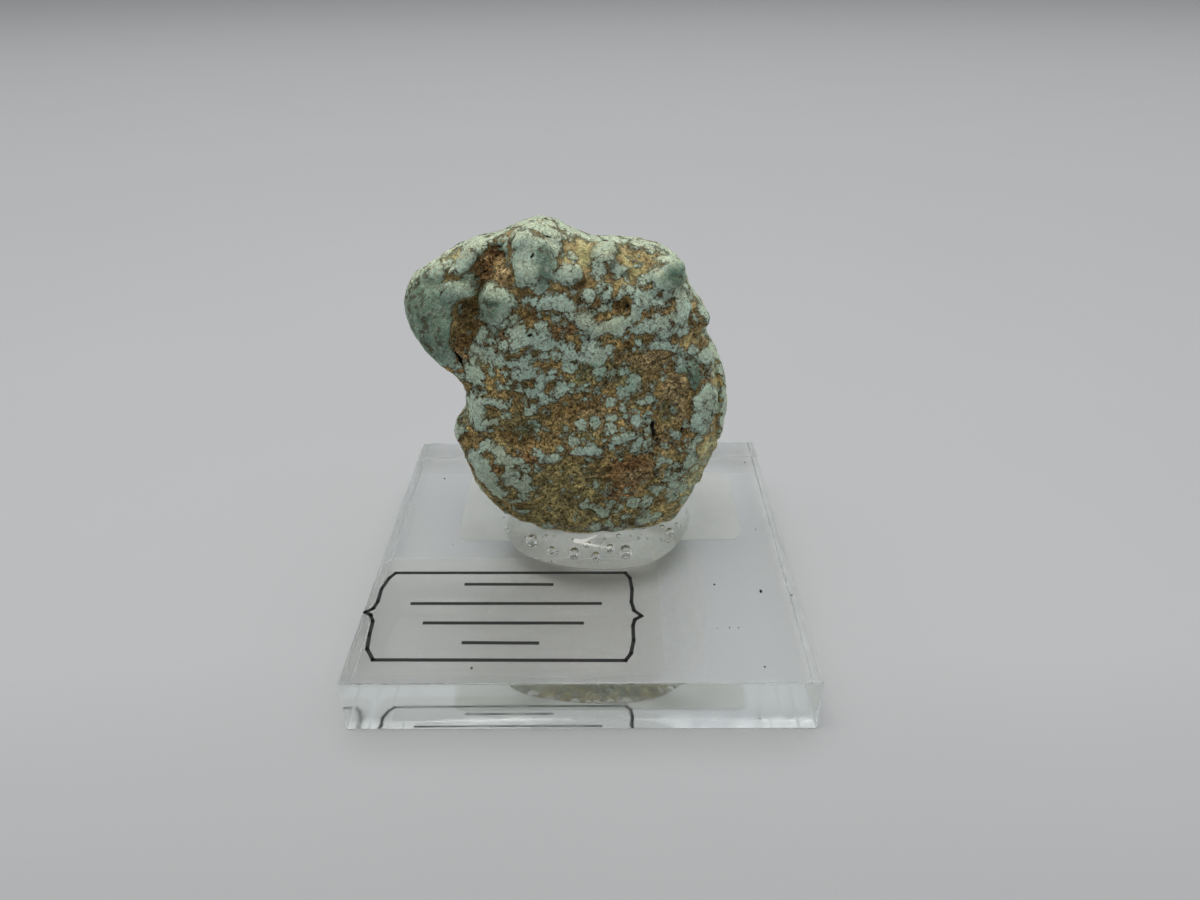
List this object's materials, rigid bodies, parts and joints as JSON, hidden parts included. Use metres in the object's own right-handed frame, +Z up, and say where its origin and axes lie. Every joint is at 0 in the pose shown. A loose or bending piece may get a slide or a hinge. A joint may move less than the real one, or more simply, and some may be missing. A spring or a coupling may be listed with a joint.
{
  "type": "raw turquoise nugget on an acrylic display block",
  "caption": "Rough turquoise nugget with a botryoidal blue-green crust over brown matrix, glued upright on a clear square acrylic display block with a ruled label.",
  "frame": {"origin": "centre of the acrylic block's underside, on the surface that the object stands on", "axes": "+Z up; the nugget's show face and the clear label look along -Y; +X to the right seen from the front"},
  "size_m": [0.075, 0.075, 0.0695],
  "materials": {
    "clear_acrylic": "polished",
    "turquoise": "matte",
    "clear_glue": "gloss",
    "label_film": "satin",
    "label_paper": "matte"
  },
  "bodies": {
    "root": {"acrylic_block": "clear_acrylic", "turquoise_nugget": "turquoise", "glue_bead": "clear_glue", "clear_label": "label_film", "paper_label": "label_paper"}
  },
  "joints": []
}
